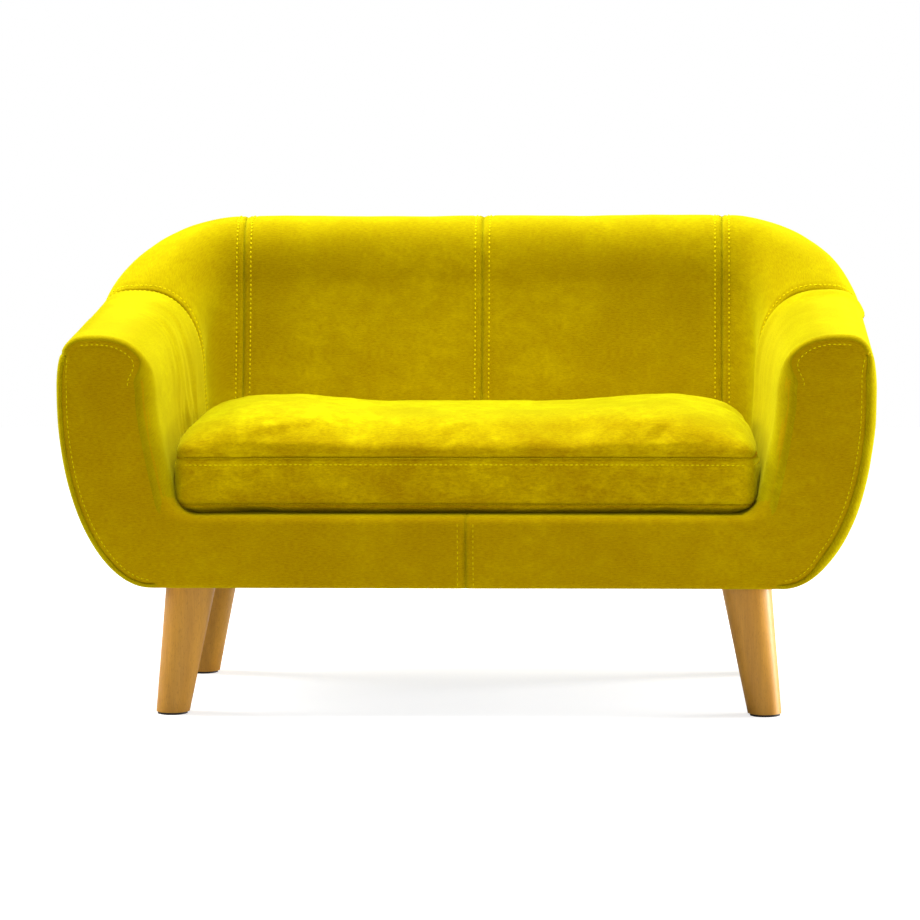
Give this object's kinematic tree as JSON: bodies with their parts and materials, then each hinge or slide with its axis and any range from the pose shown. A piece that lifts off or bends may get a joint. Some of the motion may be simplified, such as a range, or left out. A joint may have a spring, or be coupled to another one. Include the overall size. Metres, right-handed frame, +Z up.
{
  "type": "pet sofa bed",
  "caption": "Small upholstered sofa bed for a dog or cat: wrap-round padded arms and back on a wooden frame with splayed tapered legs, and a loose zipped seat cushion.",
  "frame": {"origin": "on the floor, under the middle of the body", "axes": "+X towards the right arm as seen from the front, +Y towards the back, +Z up"},
  "size_m": [0.7002, 0.3801, 0.415],
  "materials": {
    "velvet": "short-pile cotton velvet, soft sheen",
    "beech": "clear satin lacquer",
    "pine": "sawn, unfinished",
    "plywood": "sanded, unfinished",
    "foam": "open-cell upholstery foam",
    "webbing": "woven elastic webbing",
    "deck_cloth": "plain woven lining",
    "dust_cloth": "spunbonded non-woven",
    "steel": "zinc plated",
    "glide": "matt",
    "zip_tape": "woven polyester tape",
    "zip_metal": "plated zinc"
  },
  "bodies": {
    "frame": {"arm_cover_left": "velvet", "arm_cover_right": "velvet", "arm_foam_left": "foam", "arm_foam_right": "foam", "arm_panel_left": "plywood", "arm_panel_right": "plywood", "arm_top_rail_left": "pine", "arm_top_rail_right": "pine", "back_board": "plywood", "back_centre_cover_left": "velvet", "back_centre_cover_right": "velvet", "back_corner_cover_left": "velvet", "back_corner_cover_right": "velvet", "back_foam": "foam", "back_post_left": "pine", "back_post_right": "pine", "back_top_rail": "pine", "base_board": "plywood", "centre_rail": "pine", "corner_blocks": "pine", "corner_foam_left": "foam", "corner_foam_right": "foam", "corner_post_left": "pine", "corner_post_right": "pine", "deck_cloth": "deck_cloth", "deck_pad": "foam", "dust_cover": "dust_cloth", "front_fascia_left": "velvet", "front_fascia_right": "velvet", "front_foam": "foam", "front_hoop": "plywood", "front_rail": "pine", "glide_front_left": "glide", "glide_front_right": "glide", "glide_rear_left": "glide", "glide_rear_right": "glide", "hanger_bolts": "steel", "leg_front_left": "beech", "leg_front_right": "beech", "leg_rear_left": "beech", "leg_rear_right": "beech", "outer_back_cover": "velvet", "outer_side_cover_left": "velvet", "outer_side_cover_right": "velvet", "rear_rail": "pine", "side_rail_left": "pine", "side_rail_right": "pine", "tee_nuts": "steel", "webbing_crosswise": "webbing", "webbing_lengthwise": "webbing"},
    "cushion": {"cushion_foam": "foam", "cushion_top_panel": "velvet", "cushion_boxing": "velvet", "cushion_bottom_panel": "velvet", "zip_tape": "zip_tape", "zip_chain": "zip_tape"},
    "zip_slider": {"zip_slider": "zip_metal"},
    "zip_pull": {"zip_pull": "zip_metal"}
  },
  "joints": [
    {"name": "cushion_lift", "type": "slide", "parent": "frame", "child": "cushion", "axis": [0, 0, 1], "range_m": [0, 0.25]},
    {"name": "zip_slide", "type": "slide", "parent": "cushion", "child": "zip_slider", "axis": [1, 0, 0], "range_m": [0, 0.36]},
    {"name": "zip_pull_swing", "type": "hinge", "parent": "zip_slider", "child": "zip_pull", "pos_m": [-0.184, 0.0648, 0.2], "axis": [0, 0, 1], "range_deg": [0, 35]}
  ]
}
